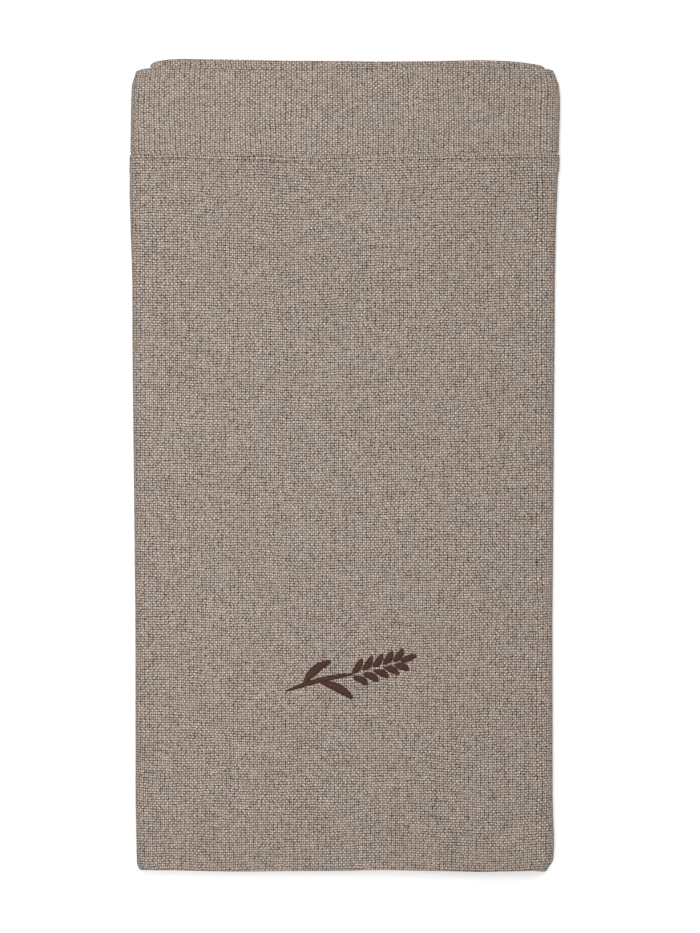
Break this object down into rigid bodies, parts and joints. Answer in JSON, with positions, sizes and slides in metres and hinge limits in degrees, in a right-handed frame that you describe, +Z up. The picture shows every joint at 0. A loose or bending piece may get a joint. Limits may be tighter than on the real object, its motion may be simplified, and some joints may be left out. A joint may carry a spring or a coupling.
{
  "type": "folded linen bread bag",
  "caption": "Linen drawstring-style bread bag lying folded flat: pocket body with doubled casing bands at the mouth, both sides folded behind.",
  "frame": {"origin": "middle of the packet's footprint, on the surface it lies on", "axes": "+Z up, out of the packet's face; +Y along the packet towards the bag's mouth; +X to the right seen from above"},
  "size_m": [0.1935, 0.3665, 0.0106],
  "materials": {
    "body_linen": "natural greige linen in an open plain weave with uneven slubby yarns, matt",
    "casing_linen": "the same linen on the other grain, two layers thick, so its weave looks closer",
    "embroidery_thread": "dark red-brown satin-stitch thread with a slight sheen"
  },
  "bodies": {
    "root": {"bag_body": "body_linen", "front_casing": "casing_linen", "back_casing": "casing_linen"}
  },
  "joints": []
}
